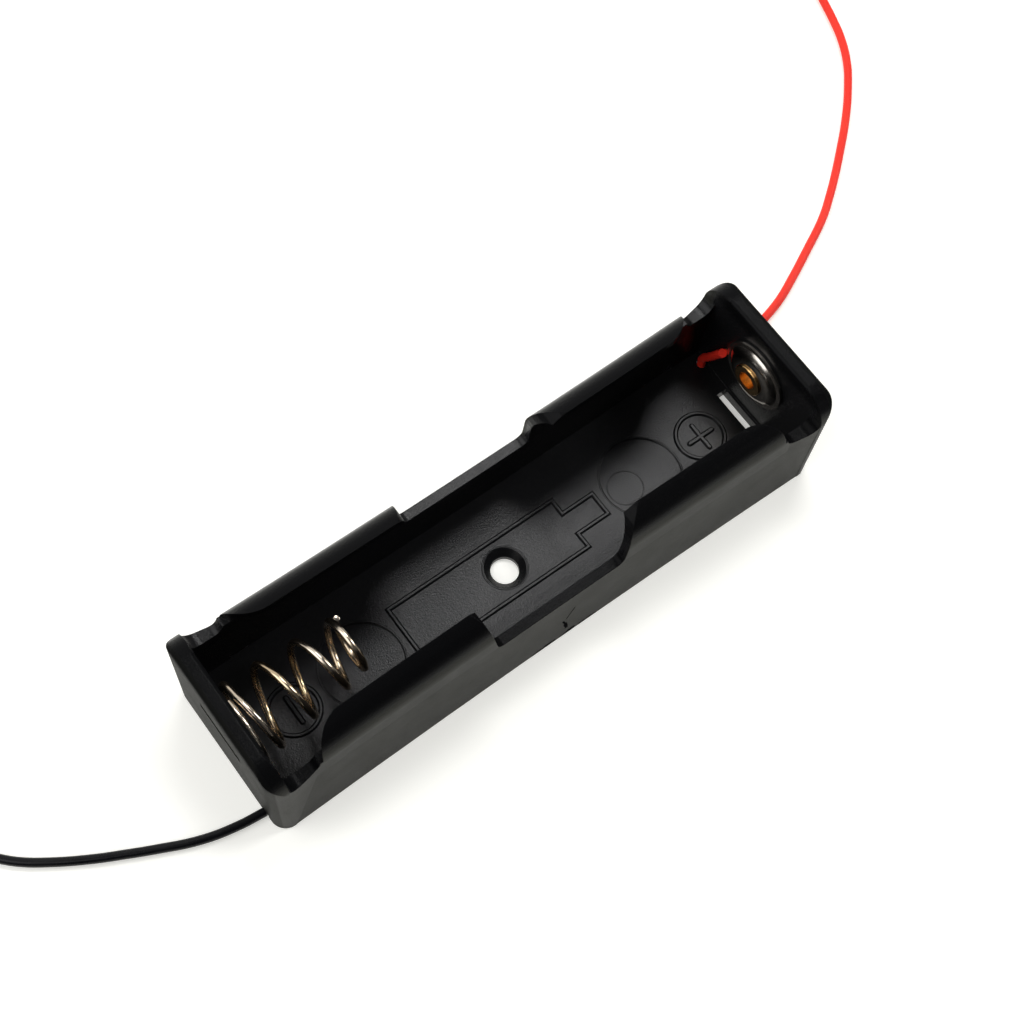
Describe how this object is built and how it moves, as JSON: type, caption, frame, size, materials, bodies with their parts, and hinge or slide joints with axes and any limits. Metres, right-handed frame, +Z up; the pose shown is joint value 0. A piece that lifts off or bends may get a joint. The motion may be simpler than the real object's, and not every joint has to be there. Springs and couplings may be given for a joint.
{
  "type": "cylindrical cell holder",
  "caption": "Long black moulded tray with curled side lips, a conical spring contact, a domed contact with an eyelet, and a red and a black wire lead.",
  "frame": {"origin": "on the underside, in the middle of the tray", "axes": "+X along the tray towards the plus contact, +Y across it, +Z up out of the open top"},
  "size_m": [0.1744, 0.0742, 0.0176],
  "materials": {
    "black_moulding": "satin moulded black plastic",
    "nickel_sheet": "nickel-plated sheet",
    "eyelet_brass": "rolled brass",
    "spring_wire": "nickel-plated spring wire",
    "solder": "dull tinned metal",
    "red_insulation": "smooth flexible insulation",
    "bare_copper": "bare copper strands",
    "black_insulation": "smooth flexible insulation"
  },
  "bodies": {
    "holder": {"holder_body": "black_moulding", "positive_contact": "nickel_sheet", "contact_eyelet": "eyelet_brass", "spring_solder": "solder", "red_lead_inner": "red_insulation", "red_lead_strands": "bare_copper", "red_lead": "red_insulation", "red_lead_coil": "red_insulation", "red_lead_end": "solder", "black_lead_inner": "black_insulation", "black_lead_strands": "bare_copper", "black_lead": "black_insulation", "black_lead_coil": "black_insulation", "black_lead_end": "solder"},
    "spring": {"negative_spring": "spring_wire"}
  },
  "joints": [
    {"name": "spring_compression", "type": "slide", "parent": "holder", "child": "spring", "axis": [1, 0, 0], "range_m": [-0.009, 0], "stiffness_N_per_m": 230, "deforming": ["negative_spring"]}
  ]
}
